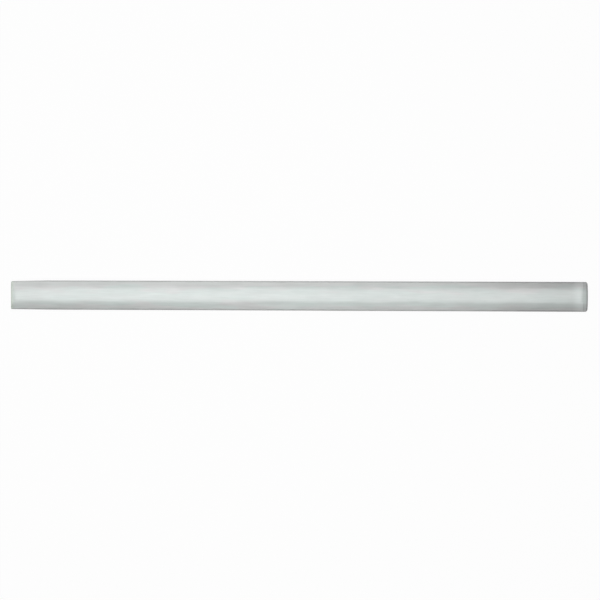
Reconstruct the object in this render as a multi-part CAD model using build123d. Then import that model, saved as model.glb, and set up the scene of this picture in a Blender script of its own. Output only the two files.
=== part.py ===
from build123d import *
import os
from math import cos, pi, sin

# Pencil liner tile: one slim bar of cast glass, flat on its back and domed on its face.
# It lies on its back. +X runs along the bar, +Y across it and +Z out of the domed face.
# The origin is the middle of the back. All sizes are in millimetres.

# Overall size: a nominal 12 in by 5/8 in liner
length = 304.8
width = 15.6
height = 10.0

# Section: upright sides, tight shoulders and a broad shallow crown
crown_rise = 2.6  # how far the crown's arc climbs from side to side before its shoulders are rounded
shoulder_radius = 2.0  # blends each upright side into the crown
back_arris = 0.4  # softened edge all round the back

# Ends: rounded by fire, so that the crown rolls over and the sides turn in towards the end's face
far_rim_radius = 2.4  # roll of the crown at the end towards +X
far_corner_inset = 1.2  # how far each side has turned in at that end
near_rim_radius = 3.0  # slower roll at the end towards -X
near_corner_inset = 0.4
rim_sections = 6  # sections that carry the loft round each rim

# The end towards -X drew in a little as the glass cooled
draw_in = 0.3  # taken off each side and off the crown at that end
draw_in_length = 20.0  # how far along the bar that reaches

half_length = length / 2
half_width = width / 2


def glass_section(x, side_inset, crown_sink):
    """The domed section at x, with its sides brought in and its crown let down."""
    side = half_width - side_inset
    top = height - crown_sink
    spring = top - crown_rise
    with BuildSketch(Plane.YZ.offset(x)) as section:
        with BuildLine():
            Polyline((-side, spring), (-side, back_arris), (back_arris - side, 0))
            Line((back_arris - side, 0), (side - back_arris, 0))
            Polyline((side - back_arris, 0), (side, back_arris), (side, spring))
            ThreePointArc((side, spring), (0, top), (-side, spring))
        make_face()
        shoulders = section.vertices().group_by(Axis.Y)[-1]
        fillet(shoulders, shoulder_radius)
    return section.sketch


def rounded_end(direction, rim_radius, corner_inset, drawn):
    """The last rim_radius of the bar in a direction, lofted round a quarter turn into the end's face."""
    sections = []
    for step in range(rim_sections + 1):
        turn = pi / 2 * step / rim_sections
        gap = rim_radius * (1 - sin(turn))
        rolled = 1 - cos(turn)
        x = direction * (half_length - gap)
        sections.append(glass_section(x, drawn + corner_inset * rolled, drawn + rim_radius * rolled))
    return loft(sections)


def end_wedge(direction):
    """The wedge that takes the arris off the foot of an end, drawn past the glass on every side."""
    inner = direction * (half_length - 2 * back_arris)
    outer = direction * (half_length + back_arris)
    with BuildSketch(Plane.XZ) as wedge:
        with BuildLine():
            Polyline((inner, -back_arris), (outer, 2 * back_arris), (outer, -back_arris), close=True)
        make_face()
    return extrude(wedge.sketch, width, both=True)


def liner_bar():
    """The whole bar of glass as one solid."""
    near_start = near_rim_radius - half_length
    draw_start = draw_in_length - half_length
    far_start = half_length - far_rim_radius
    full = glass_section(draw_start, 0, 0)
    bar = extrude(full, far_start - draw_start, dir=(1, 0, 0))
    bar += loft([full, glass_section(near_start, draw_in, draw_in)], ruled=True)
    bar += rounded_end(1, far_rim_radius, far_corner_inset, 0)
    bar += rounded_end(-1, near_rim_radius, near_corner_inset, draw_in)
    bar -= end_wedge(1)
    bar -= end_wedge(-1)
    return bar


os.makedirs("parts", exist_ok=True)
pencil_liner = liner_bar()
export_step(pencil_liner, "parts/pencil_liner.step")
print(pencil_liner.bounding_box(), round(pencil_liner.volume), "mm3")
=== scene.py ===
# %% [markdown]
# A glass pencil liner, modelled in Blender
#
# The real object is a slim bar of opal glass, sold as trim for a tiled wall. Its back is flat, its
# face is domed and glossy, and its ends were rounded by fire. The glass is pale grey-green all
# through and lets no picture through, so its look is made of three things: its own colour, the way
# the dome turns away from the light, and the long reflection of a lamp along its crown.
#
# The bar's overall size comes from its CAD model, which is loaded first and never moved. One unit
# is one metre, so small sizes are written as millimetres times `mm`.

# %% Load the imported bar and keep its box
from math import atan2, cos, pi, radians, sin, sqrt, tan

import bmesh
import bpy
from mathutils import Matrix, Vector, noise


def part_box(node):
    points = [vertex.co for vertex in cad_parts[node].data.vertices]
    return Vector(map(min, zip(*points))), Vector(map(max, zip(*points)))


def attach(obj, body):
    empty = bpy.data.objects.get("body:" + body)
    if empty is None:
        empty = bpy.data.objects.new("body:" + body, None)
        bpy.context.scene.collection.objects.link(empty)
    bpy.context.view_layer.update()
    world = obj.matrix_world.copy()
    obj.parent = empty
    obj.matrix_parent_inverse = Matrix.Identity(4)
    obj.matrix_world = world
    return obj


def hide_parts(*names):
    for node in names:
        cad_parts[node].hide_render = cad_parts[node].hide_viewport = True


mm = 0.001
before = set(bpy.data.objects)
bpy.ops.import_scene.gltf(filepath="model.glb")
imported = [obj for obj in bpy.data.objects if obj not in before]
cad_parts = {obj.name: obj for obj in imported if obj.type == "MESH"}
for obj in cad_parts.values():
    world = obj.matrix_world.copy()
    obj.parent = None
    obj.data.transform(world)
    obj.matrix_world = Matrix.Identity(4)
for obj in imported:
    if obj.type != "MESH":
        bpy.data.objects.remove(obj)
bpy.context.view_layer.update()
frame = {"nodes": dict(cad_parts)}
bar_low, bar_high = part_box("pencil_liner")
length, width, height = bar_high - bar_low
half_length = length / 2
half_width = width / 2
print("the frame holds", ", ".join(frame["nodes"]))
print("the bar measures", [round(size / mm, 2) for size in (length, width, height)], "mm")

# %% [markdown]
# The camera
#
# The picture looks almost straight down. The bar is a little wider in it at the right end than at
# the left, so the right end is nearer: the camera stands to the right of the middle and turns back
# to face the bar. A tapered bar seen from straight above would look the same, but a liner is made
# straight. The long lens and the far camera keep the ends from showing their upright faces.

# %% Camera
camera_distance = 1.2
camera_turn = radians(3.5)
camera_roll = radians(0.208)
camera_lens = 136.34
camera_aim = Vector((1.47 * mm, -2.17 * mm, 4 * mm))


def add_to_scene(name, data):
    """Makes an object of the data and links it to the scene."""
    made = bpy.data.objects.new(name, data)
    bpy.context.scene.collection.objects.link(made)
    return made


camera = add_to_scene("camera", bpy.data.cameras.new("camera"))
camera.data.lens = camera_lens
facing = Matrix.Rotation(camera_turn, 4, "Y") @ Matrix.Rotation(camera_roll, 4, "Z")
stands_at = camera_aim + facing.col[2].to_3d() * camera_distance
camera.matrix_world = Matrix.Translation(stands_at) @ facing
bpy.context.scene.camera = camera
print("the camera stands at", [round(metres, 3) for metres in stands_at])

# %% [markdown]
# Arithmetic on sockets
#
# A procedural finish is mostly arithmetic. It could be wired by hand, a Math node at a time, but
# then nobody can read the sum. `Wire` wraps the socket that a value leaves by, so that
# `a * b + 1` adds the Math nodes, and `Recipe` adds every other node by one method.

# %% A wire that can be added, subtracted and multiplied
class Wire:
    """A value that leaves a socket."""

    def __init__(self, recipe, socket):
        self.recipe = recipe
        self.socket = socket

    def math(self, operation, first, second):
        """The wire that leaves a Math node, fed with two wires or numbers."""
        return self.recipe.node("ShaderNodeMath", {"operation": operation}, {0: first, 1: second})

    def __add__(self, other):
        return self.math("ADD", self, other)

    def __sub__(self, other):
        return self.math("SUBTRACT", self, other)

    def __rsub__(self, other):
        return self.math("SUBTRACT", other, self)

    def __mul__(self, other):
        return self.math("MULTIPLY", self, other)

    def absolute(self):
        """The value without its sign."""
        return self.math("ABSOLUTE", self, 0.0)

    def part(self, axis):
        """The X, Y or Z of a vector."""
        return self.recipe.node("ShaderNodeSeparateXYZ", None, {"Vector": self}, output=axis)

    def rise(self, start, end):
        """0 where the value is at start, 1 where it is at end, and smooth between."""
        ends = {"Value": self, "From Min": start, "From Max": end}
        return self.recipe.node("ShaderNodeMapRange", {"interpolation_type": "SMOOTHSTEP"}, ends)

    __radd__ = __add__
    __rmul__ = __mul__


# %% A recipe that adds the nodes
class Recipe:
    """The nodes of a material or of the world."""

    def __init__(self, owner):
        self.owner = owner
        owner.use_nodes = True
        owner.node_tree.nodes.clear()

    def node(self, kind, settings=None, values=None, output=0):
        """Adds a node, makes its settings, fills its sockets and returns the wire that leaves it."""
        node = self.owner.node_tree.nodes.new(kind)
        for name, setting in (settings or {}).items():
            setattr(node, name, setting)
        for name, value in (values or {}).items():
            if isinstance(value, Wire):
                self.owner.node_tree.links.new(value.socket, node.inputs[name])
            else:
                node.inputs[name].default_value = value
        return Wire(self, node.outputs[output]) if node.outputs else node


# %% [markdown]
# The floor
#
# The bar lies on white paper. Light enough to make real paper white would also bleach the bar, so
# the paper glows a little instead, through the Light Path node. The camera sees most of that glow,
# and rays that came off or through glass see less of it. No other ray does, so the glow lights
# nothing. The rest of what the camera sees is lit paper, which takes the bar's soft shadow, though
# only a hint of it is left under so much glow.

# %% The floor's shape
floor_size = 6.0
floor_drop = 0.1 * mm

floor_shape = bmesh.new()
bmesh.ops.create_grid(floor_shape, x_segments=1, y_segments=1, size=floor_size / 2)
bmesh.ops.translate(floor_shape, verts=floor_shape.verts, vec=(0, 0, bar_low.z - floor_drop))
floor = add_to_scene("floor", bpy.data.meshes.new("floor"))
floor_shape.to_mesh(floor.data)
floor_shape.free()
print("the floor is", floor_size, "m square")

# %% The floor's paper
paper_white = (0.5, 0.5, 0.5, 1.0)
white_glow = 1.0
seen_glow = 0.97
mirrored_glow = 0.15

paper = Recipe(bpy.data.materials.new("white_paper"))
seen = paper.node("ShaderNodeLightPath", output="Is Camera Ray")
off_glass = paper.node("ShaderNodeLightPath", output="Is Glossy Ray")
through_glass = paper.node("ShaderNodeLightPath", output="Is Transmission Ray")
by_glass = paper.node("ShaderNodeMath", {"operation": "MAXIMUM"}, {0: off_glass, 1: through_glass})
lit = paper.node("ShaderNodeBsdfDiffuse", None, {"Color": paper_white})
glow = paper.node("ShaderNodeEmission", None, {"Strength": white_glow})
glow_share = seen * seen_glow + by_glass * mirrored_glow
surface = paper.node("ShaderNodeMixShader", None, {0: glow_share, 1: lit, 2: glow})
paper.node("ShaderNodeOutputMaterial", None, {"Surface": surface})
floor.data.materials.append(paper.owner)
print("the paper has", len(paper.owner.node_tree.nodes), "nodes")

# %% [markdown]
# The light
#
# A glossy dome mirrors whatever hangs over it, so the lamp's shape is drawn along the crown: a
# large soft box gives the broad pale band. It hangs a little to the left of the bar's middle and
# towards the top of the picture, which leaves the right end and both shoulders darker. A picture of
# a studio, wrapped round the scene, would light the bar as well, but a lamp can be moved until its
# reflection is right. A real soft box often carries a grid of louvres that keeps its light from
# spreading. Blender's lamp has that as `spread`, and its power is scaled here so that the box's
# face stays equally bright at any spread.

# %% A soft box
def softbox(name, centre, aim, sides, brightness, spread):
    """A lamp aimed at a point, with a face of these sides, brightness times as bright as white paper."""
    lamp = add_to_scene(name, bpy.data.lights.new(name, "AREA"))
    lamp.data.shape = "RECTANGLE"
    lamp.data.size, lamp.data.size_y = sides
    lamp.data.spread = spread
    louvres = 1 - spread / 2 / tan(spread / 2)
    lamp.data.energy = brightness * pi * sides[0] * sides[1] * louvres
    lamp.location = centre
    lamp.rotation_mode = "QUATERNION"
    lamp.rotation_quaternion = (Vector(aim) - Vector(centre)).to_track_quat("-Z", "Y")
    return lamp


main_box = softbox("main_box", centre=(-0.05, 0.04, 0.40), aim=(-0.05, 0.04, 0), sides=(0.46, 0.5),
                   brightness=3.8, spread=radians(115))
print("the main box gives", round(main_box.data.energy, 3), "W")

# %% [markdown]
# A weaker box stands low to the left. It lights the face of the near end, which the main box
# passes over, and shows as a pale edge there. It could be small and bright, but the crown mirrors
# it when somebody looks along the bar, so a large dim box is kinder.

# %% A low box at the near end
left_box = softbox("left_box", centre=(-0.60, 0.06, 0.19), aim=(-0.15, 0, 0), sides=(0.5, 0.34),
                   brightness=1.05, spread=radians(170))
print("the left box gives", round(left_box.data.energy, 3), "W")

# %% [markdown]
# The rest of the studio is dim overhead and has pale walls, which light the upright sides, the ends
# and a little of the flanks. They could be built as panels round the bar, but the world's shader
# does the same with one sum. In it, the place that a ray comes from is its direction, so its Z says
# how high above the horizon the ray came in.

# %% The room
ceiling_level = 0.12
wall_level = 1.25
walls_end = sin(radians(30))
horizon = 0.0

room = Recipe(bpy.data.worlds.new("room"))
came_from = room.node("ShaderNodeTexCoord", output="Generated").part("Z")
on_walls = came_from.rise(start=walls_end, end=horizon)
level = ceiling_level + (wall_level - ceiling_level) * on_walls
air = room.node("ShaderNodeBackground", None, {"Strength": level})
room.node("ShaderNodeOutputWorld", None, {"Surface": air})
bpy.context.scene.world = room.owner
bpy.context.scene.view_settings.view_transform = "Standard"
print("the room is at", ceiling_level, "of white overhead and", wall_level, "at its walls")

# %% [markdown]
# The section
#
# The mould gives the bar its section: upright sides, tight shoulders and a broad shallow crown. It
# could be cut out of a box with bevels. Here a single vertex draws it, because the two arcs then
# have exactly the sizes they are given: `spin` drags the vertex round a centre, and with a step in
# place of an angle it drags it along a line.

# %% The section's sizes
crown_rise = 2.6 * mm
shoulder_radius = 2.0 * mm

crown_radius = (half_width**2 + crown_rise**2) / (2 * crown_rise)
crown_centre = Vector((0, 0, height - crown_radius))
shoulder_reach = half_width - shoulder_radius
shoulder_z = crown_centre.z + sqrt((crown_radius - shoulder_radius) ** 2 - shoulder_reach**2)
crown_angle = atan2(shoulder_reach, shoulder_z - crown_centre.z)
print("the sides stand", round(shoulder_z / mm, 2), "mm high")
print("the crown's radius is", round(crown_radius / mm, 2), "mm")

# %% Two strokes of the pen
def draw_line(shape, geometry, step, steps):
    """Drags geometry along a line and returns what it ends as."""
    spun = bmesh.ops.spin(shape, geom=geometry, axis=(1, 0, 0), dvec=step, steps=steps)
    return spun["geom_last"]


def draw_arc(shape, geometry, centre, angle, steps):
    """Drags geometry round centre, about the bar's length, and returns what it ends as."""
    spun = bmesh.ops.spin(shape, geom=geometry, cent=centre, axis=(1, 0, 0), angle=angle, steps=steps)
    return spun["geom_last"]


# %% Draw the section where the near end begins to round
near_rim_radius = 3.0 * mm
back_arris = 0.4 * mm
side_steps = 6
shoulder_steps = 10
crown_steps = 32
back_steps = 12
touching = 1e-7
up = Vector((0, 0, (shoulder_z - back_arris) / side_steps))
across = Vector((0, (width - 2 * back_arris) / back_steps, 0))
shoulder_turn = pi / 2 - crown_angle

bar = bmesh.new()
pen = [bar.verts.new((near_rim_radius - half_length, half_width, back_arris))]
pen = draw_line(bar, pen, up, side_steps)
pen = draw_arc(bar, pen, (0, shoulder_reach, shoulder_z), shoulder_turn, shoulder_steps)
pen = draw_arc(bar, pen, crown_centre, 2 * crown_angle, crown_steps)
pen = draw_arc(bar, pen, (0, -shoulder_reach, shoulder_z), shoulder_turn, shoulder_steps)
pen = draw_line(bar, pen, -up, side_steps)
pen = draw_line(bar, pen, Vector((0, back_arris, -back_arris)), steps=1)
pen = draw_line(bar, pen, across, back_steps)
pen = draw_line(bar, pen, Vector((0, back_arris, back_arris)), steps=1)
bmesh.ops.remove_doubles(bar, verts=bar.verts, dist=touching)
near_ring = bar.edges[:]
print("the section has", len(bar.verts), "points")

# %% [markdown]
# The straight part
#
# The section is dragged along the bar in short steps. Two rings would do for a straight bar, but
# the glass will be given gentle waves, and they need points to move.

# %% Drag the section along the bar
far_rim_radius = 2.4 * mm
straight_steps = 240
step_forward = Vector(((length - near_rim_radius - far_rim_radius) / straight_steps, 0, 0))
drawn = draw_line(bar, bar.verts[:] + near_ring, step_forward, straight_steps)
far_ring = [item for item in drawn if isinstance(item, bmesh.types.BMEdge)]
print("the straight part has", len(bar.faces), "faces")

# %% [markdown]
# The ends
#
# Fire melts the sharp edge of a cut end until the crown rolls over into the end's face. The sides
# turn in towards that face as well, but on a smaller radius. A bevel gives one radius all the way
# round, so each end is grown ring by ring: the last ring is extruded, moved on, and squeezed
# towards the back and towards the middle by as much as the roll has taken away there.

# %% How far a round edge has drawn back
def rolled_off(radius, gap):
    """How far a round edge of this radius has drawn back where gap is left before the end."""
    return radius - sqrt(radius**2 - max(0, radius - gap) ** 2)


# %% Grow the two ends
far_corner_radius = 1.2 * mm
near_corner_radius = 0.3 * mm
rim_steps = 12


def grow_end(shape, ring, direction, rim_radius, corner_radius):
    """Adds a rounded end to a ring of edges, and closes it."""
    reached = 0
    size = Vector((half_width, height))
    for step in range(1, rim_steps + 1):
        reach = rim_radius * sin(pi / 2 * step / rim_steps)
        gap = rim_radius - reach
        squeezed = Vector((half_width - rolled_off(corner_radius, gap),
                           height - rolled_off(rim_radius, gap)))
        grown = bmesh.ops.extrude_edge_only(shape, edges=ring)["geom"]
        points = [item for item in grown if isinstance(item, bmesh.types.BMVert)]
        ring = [item for item in grown if isinstance(item, bmesh.types.BMEdge) and item.is_boundary]
        bmesh.ops.translate(shape, verts=points, vec=(direction * (reach - reached), 0, 0))
        bmesh.ops.scale(shape, verts=points, vec=(1, squeezed.x / size.x, squeezed.y / size.y))
        reached = reach
        size = squeezed
    bmesh.ops.edgeloop_fill(shape, edges=ring)


grow_end(bar, far_ring, 1, far_rim_radius, far_corner_radius)
grow_end(bar, near_ring, -1, near_rim_radius, near_corner_radius)
bmesh.ops.recalc_face_normals(bar, faces=bar.faces)
print("the bar has", len(bar.faces), "faces")

# %% [markdown]
# The feet of the ends
#
# The edge round the back was knocked off with a stone, so that it doesn't cut or chip. Along the
# sides that arris is part of the section. At the ends a bevel would run over the narrow faces of
# the roll, so a slanting plane cuts the foot off instead, and the cut is closed again.

# %% Cut the arris at the foot of each end
def cut_foot(shape, direction):
    """Takes the arris off the foot of one end and returns the number of edges round the cut."""
    everything = shape.verts[:] + shape.edges[:] + shape.faces[:]
    corner = (direction * (half_length - back_arris), 0, 0)
    cut = bmesh.ops.bisect_plane(shape, geom=everything, dist=touching, plane_co=corner,
                                 plane_no=(direction, 0, -1), clear_outer=True)
    rim = [item for item in cut["geom_cut"] if isinstance(item, bmesh.types.BMEdge)]
    bmesh.ops.edgeloop_fill(shape, edges=rim)
    return len(rim)


far_cut = cut_foot(bar, 1)
near_cut = cut_foot(bar, -1)
print("the cuts have", far_cut, "and", near_cut, "edges")

# %% [markdown]
# What the fire did
#
# No end stayed quite true. Seen from above, the far end stands out a little in its middle, and the
# near one is dished. The near end also lost its upper corner, and drew in over its last two
# centimetres. The whole bar is a hair wider at the far end. A lattice could pull the bar about like
# this. A loop over the points that are already there makes each small move to the size it is given.

# %% Bow the far end and dish the near one
far_bow = 0.12 * mm
near_dish = 0.35 * mm
for vertex in bar.verts:
    aside = (vertex.co.y / half_width) ** 2
    pulled = far_bow * aside if vertex.co.x > 0 else near_dish * (1 - aside)
    vertex.co.x -= pulled * vertex.co.x / half_length
print("the ends moved by up to", far_bow / mm, "and", near_dish / mm, "mm")

# %% [markdown]
# Two dips cross the crown near the far end. The wide one is the neck, where the softened glass
# pulled back. The narrow one is a crease where the crown begins to roll over: its first slope turns
# away from the lamp and draws a thin dark line, and its second slope catches the light again. A
# half turn of a cosine on either side gives each dip a round bottom that begins without an edge.

# %% Sink the neck and the crease
def dip(x, centre, reach, depth):
    """How far the crown sinks at x, in a round dip with this reach to either side and this depth."""
    away = min(1, abs(x - centre) / reach)
    return depth * (0.5 + 0.5 * cos(pi * away))


neck_centre = half_length - 9.5 * mm
neck_reach = 8 * mm
neck_depth = 0.07 * mm
crease_centre = half_length - 1.8 * mm
crease_reach = 0.8 * mm
crease_depth = 0.14 * mm
for vertex in bar.verts:
    sunk = dip(vertex.co.x, neck_centre, neck_reach, neck_depth)
    sunk += dip(vertex.co.x, crease_centre, crease_reach, crease_depth)
    vertex.co.z -= sunk * vertex.co.z / height
print("the neck is", neck_depth / mm, "mm deep and the crease", crease_depth / mm, "mm")

# %% Taper the bar, draw its near end in and melt the corner there
taper = 0.08 * mm
upper_draw_in = 0.4 * mm
lower_draw_in = 0.2 * mm
draw_in_length = 20 * mm
melted_reach = 1.5 * mm
melted_depth = 0.45 * mm
for vertex in bar.verts:
    gap = max(0, vertex.co.x + half_length)
    drawn_in = max(0, 1 - gap / draw_in_length)
    draw_in = upper_draw_in if vertex.co.y > 0 else lower_draw_in
    narrower = taper * (1 - gap / length) + drawn_in * draw_in
    if vertex.co.y > 0 and gap < melted_reach:
        narrower += melted_depth * rolled_off(1, gap / melted_reach)
    vertex.co.y *= 1 - narrower / half_width
    vertex.co.z *= 1 - drawn_in * lower_draw_in / height
print("the near end is", round((taper + upper_draw_in) / mm, 2), "mm narrower above")

# %% [markdown]
# Waves
#
# Poured glass isn't flat. Its waves are far too shallow to see, but they bend the edges of the
# lamp's reflection, and that tells the eye that this is glass and not plastic. A bump could fake
# them. Here the points of the crown are lowered a little by a noise that is long along the bar and
# short across it, so that the waves are in the mesh itself. `fractal` adds finer waves to the long
# ones.

# %% Lower the crown in waves
wave_height = 0.15 * mm
wave_length = 22 * mm
wave_width = 8 * mm
roughness_of_waves = 0.8
finer_each_time = 2.0
octaves = 3
bar.normal_update()
deepest = 0
for vertex in bar.verts:
    spot = Vector((vertex.co.x / wave_length, vertex.co.y / wave_width, 0))
    wave = 0.5 + 0.5 * noise.fractal(spot, roughness_of_waves, finer_each_time, octaves)
    depth = wave_height * wave * max(0, vertex.normal.z)
    vertex.co.z -= depth
    deepest = max(deepest, depth)
print("the waves are up to", round(deepest / mm, 3), "mm deep")

# %% [markdown]
# The finished mesh
#
# The bar is smooth everywhere but at the arris and the edges of its ends' feet. Cutting the mesh
# apart there would keep those edges crisp, but leave it open. So its faces are shaded smooth, and
# the edges that turn sharply are marked sharp. The back gets a slot of its own, because it is left
# as it came from the mould.

# %% Make the bar an object
sharp_turn = radians(35)
quad_corners = 4
facing_down = -0.99
liner = add_to_scene("glass_liner", bpy.data.meshes.new("glass_liner"))
bmesh.ops.triangulate(bar, faces=[face for face in bar.faces if len(face.verts) > quad_corners])
bar.normal_update()
for face in bar.faces:
    face.smooth = True
    face.material_index = 1 if face.normal.z < facing_down else 0
bar.to_mesh(liner.data)
bar.free()
liner.data.set_sharp_from_angle(angle=sharp_turn)
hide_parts("pencil_liner")
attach(liner, "root")
print("the bar is", len(liner.data.polygons), "faces")

# %% [markdown]
# Clouds in the glass
#
# Opal glass is stirred and never quite even. Pouring draws its clouds out into long faint streaks.
# They could be painted on by hand. Noise gives clouds that go on for any length, and dividing the
# place by a long length and two short ones draws them out.

# %% Clouds of a given length and width
def drawn_clouds(recipe, cloud_length, cloud_width, detail):
    """Noise from 0 to 1, in clouds that are drawn out along the bar."""
    on_bar = recipe.node("ShaderNodeTexCoord", output="Object")
    scale = (1 / cloud_length, 1 / cloud_width, 1 / cloud_width)
    drawn_out = recipe.node("ShaderNodeMapping", None, {"Vector": on_bar, "Scale": scale})
    return recipe.node("ShaderNodeTexNoise", None, {"Vector": drawn_out, "Scale": 1.0, "Detail": detail})


def stronger(clouds):
    """The same clouds from clear to dense, because noise seldom goes below 0.3 or above 0.7."""
    return clouds.rise(start=0.3, end=0.7)


# %% One colour mixed into another
first_colour = 6
second_colour = 7
mixed_colour = 2


def blend(recipe, share, first, second):
    """Mixes colours by share. A Mix node has sockets for other data too, so these go by number."""
    values = {0: share, first_colour: first, second_colour: second}
    return recipe.node("ShaderNodeMix", {"data_type": "RGBA"}, values, output=mixed_colour)


# %% [markdown]
# The colour of the glass
#
# The crown is greenest along a line just below its middle. Its flanks are greyer, and the two drift
# into each other in patches, so clouds push the border between them to and fro. The near end is
# greener where it melted. The colour could be painted on an image, but an image has only so many
# dots and has to be wrapped round the bar. Here each point's colour is worked out from its place,
# which stays sharp at any distance and needs no wrapping.

# %% Where a point of the glass lies
opal = Recipe(bpy.data.materials.new("opal_glass"))
place = opal.node("ShaderNodeTexCoord", output="Object")
along = place.part("X")
sideways = place.part("Y")
high = place.part("Z")
off_middle = sideways.absolute()
on_dome = high.rise(start=4.5 * mm, end=7.5 * mm)
to_far_end = along.rise(start=75 * mm, end=135 * mm)
far_flank = off_middle.rise(start=2.5 * mm, end=6.5 * mm) * on_dome * to_far_end
print("the places take", len(opal.owner.node_tree.nodes), "nodes")

# %% From green in the middle to grey at the flanks
green_glass = (0.570, 0.623, 0.606, 1)
grey_glass = (0.597, 0.607, 0.601, 1)
end_glass = (0.555, 0.622, 0.552, 1)
green_line = -0.6 * mm
patch_drift = 14 * mm
half_clouded = 0.5
flank_grey = 0.8
veil_grey = 0.35
far_grey = 0.5
melted_end = 3 * mm

clouds = drawn_clouds(opal, cloud_length=18 * mm, cloud_width=3.5 * mm, detail=1.0)
veils = drawn_clouds(opal, cloud_length=25 * mm, cloud_width=5 * mm, detail=1.0)
off_green = (sideways - green_line).absolute() + patch_drift * (clouds - half_clouded)
on_flank = off_green.rise(start=3 * mm, end=6 * mm) * on_dome
greyness = flank_grey * on_flank + veil_grey * stronger(veils) + far_grey * far_flank
drifting = blend(opal, greyness, green_glass, grey_glass)
in_melt = along.rise(start=melted_end - half_length, end=-half_length)
colour = blend(opal, in_melt, drifting, end_glass)
print("the colour takes", len(opal.owner.node_tree.nodes), "nodes so far")

# %% [markdown]
# Light and shade are painted into the glass's colour here. The shoulders and the rim of the far end
# get painted shade, and a faint painted dark line marks the crease. Both flanks get painted shade
# towards the far end. The lower one gets a little painted shade all along, and most of all at the near
# end. Painted light pales the crown near the far end. The upright sides lay against the mould, so the
# fire didn't polish them, and painted light makes them paler than the face. Each of these could be a
# material of its own, but then the borders would be hard. As masks that rise from 0 to 1 they fade
# into each other, and each takes away or adds a share of the glass's brightness.

# %% Painted shade on the shoulders, rim and crease
edge_shade = 0.24
crease_shade = 0.045
crease_shade_aside = 0.145

at_shoulder = high.rise(start=5.8 * mm, end=6.6 * mm)
on_shoulder = off_middle.rise(start=6.8 * mm, end=7.5 * mm) * at_shoulder
far_rim = along.rise(start=half_length - 2.0 * mm, end=half_length - 0.5 * mm) * on_dome
off_crease = (along - (half_length - 2.2 * mm)).absolute()
in_crease = off_crease.rise(start=0.6 * mm, end=0.1 * mm) * on_dome
deeper_aside = crease_shade + crease_shade_aside * off_middle.rise(start=1.5 * mm, end=5 * mm)
# Painted shade: the colour darkens along the shoulders, round the far rim and in the crease.
edges = edge_shade * on_shoulder + edge_shade * far_rim + deeper_aside * in_crease
print("the colour takes", len(opal.owner.node_tree.nodes), "nodes so far")

# %% Painted shade on the flanks, painted light on the sides and the far end
far_shade = 0.18
low_shade = 0.03
near_shade = 0.15
far_end_painted_light = 0.16
side_painted_light = 0.14

on_side = high.rise(start=6.6 * mm, end=5.8 * mm)
# Painted shade: the flanks darken towards the far end, and the lower flank all along, most at the near
# end.
deeper_near = low_shade + near_shade * along.rise(start=20 * mm, end=-140 * mm)
low_flank_shade = sideways.rise(start=-2.5 * mm, end=-6 * mm) * on_dome * deeper_near
# Painted light: the crown is paler near the far end, and the upright sides are paler than the face.
near_far_end = along.rise(start=half_length - 9 * mm, end=half_length - 4 * mm)
painted_paleness = far_end_painted_light * near_far_end + side_painted_light * on_side
# All the painted light and shade above, added up.
places = painted_paleness - far_shade * far_flank - low_flank_shade - edges
print("the colour takes", len(opal.owner.node_tree.nodes), "nodes so far")

# %% [markdown]
# Over all of this lie the streaks that the pouring left: soft ones a couple of millimetres wide, and
# threads half as wide that show only from close by. They could shift the hue as well, but the clouds
# above do that already. So they only scale the colour, which keeps its hue.

# %% Streaks of two sizes
plain_tone = 0.955
streak_glow = 0.06
thread_glow = 0.05

streaks = drawn_clouds(opal, cloud_length=12 * mm, cloud_width=2.2 * mm, detail=2.0)
threads = drawn_clouds(opal, cloud_length=14 * mm, cloud_width=0.9 * mm, detail=2.0)
# The tone scales the colour by the streaks and by the painted light and shade.
tone = plain_tone + streak_glow * stronger(streaks) + thread_glow * stronger(threads) + places
streaks_and_painted_shade = opal.node("ShaderNodeVectorMath", {"operation": "SCALE"}, {"Vector": colour, "Scale": tone})
print("the colour takes", len(opal.owner.node_tree.nodes), "nodes")

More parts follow.
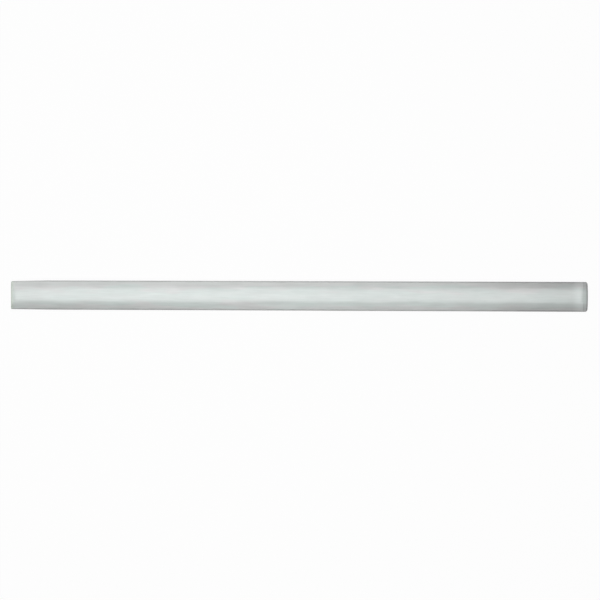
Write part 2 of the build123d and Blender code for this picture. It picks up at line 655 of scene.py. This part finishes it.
# %% [markdown]
# The finish of the glass
#
# The fire left the face almost as smooth as a mirror. A low roughness and a bump a fiftieth of a
# millimetre high, on the streaks, are enough to ripple its reflections, and the index of refraction
# is that of common glass. Transmission would show the paper through the bar, which this glass is
# too cloudy for. Subsurface scattering takes its place: light wanders about two millimetres in the
# glass, and that softens the shading.

# %% Opal glass
polished = 0.1
duller_streaks = 0.04
unpolished = 0.25
refraction = 1.52
ripple_strength = 0.5
ripple_height = 0.02 * mm
cloudy = 0.3
wandering = 2 * mm
all_colours_alike = (1, 1, 1)

gloss = polished + duller_streaks * streaks + unpolished * on_side
ripples = opal.node("ShaderNodeBump", None, {
    "Strength": ripple_strength, "Distance": ripple_height, "Height": streaks})
body = opal.node("ShaderNodeBsdfPrincipled", None, {
    "Base Color": streaks_and_painted_shade, "Roughness": gloss, "IOR": refraction, "Normal": ripples,
    "Subsurface Weight": cloudy, "Subsurface Radius": all_colours_alike, "Subsurface Scale": wandering})
opal.node("ShaderNodeOutputMaterial", None, {"Surface": body})
liner.data.materials.append(opal.owner)
print("opal glass has", len(opal.owner.node_tree.nodes), "nodes")

# %% [markdown]
# The back
#
# The back lay on the mould's floor. It is the same glass, but matt and finely pitted, which gives
# the adhesive something to hold. The pits could be modelled, but they would take more faces than
# the rest of the bar, and the back ends up against a wall. So a bump and two tones stand for them:
# the darker tone is painted shade in the pits.

# %% Matt back
pit_size = 0.8 * mm
pit_detail = 4.0
pit_strength = 0.6
pit_depth = 0.1 * mm
pit_shade_glass = (0.50, 0.545, 0.53, 1)
ground_glass = (0.60, 0.63, 0.62, 1)
matt = 0.55
duller_between_pits = 0.2

back = Recipe(bpy.data.materials.new("matt_back"))
pits = drawn_clouds(back, pit_size, pit_size, pit_detail)
# Painted shade: the colour is darker where the bump is low, in the pits.
dull = blend(back, pits.rise(start=0.35, end=0.65), pit_shade_glass, ground_glass)
pitted = back.node("ShaderNodeBump", None, {
    "Strength": pit_strength, "Distance": pit_depth, "Height": pits})
underside = back.node("ShaderNodeBsdfPrincipled", None, {
    "Base Color": dull, "Roughness": matt + duller_between_pits * pits, "IOR": refraction,
    "Normal": pitted})
back.node("ShaderNodeOutputMaterial", None, {"Surface": underside})
liner.data.materials.append(back.owner)
print("the back has", len(back.owner.node_tree.nodes), "nodes")
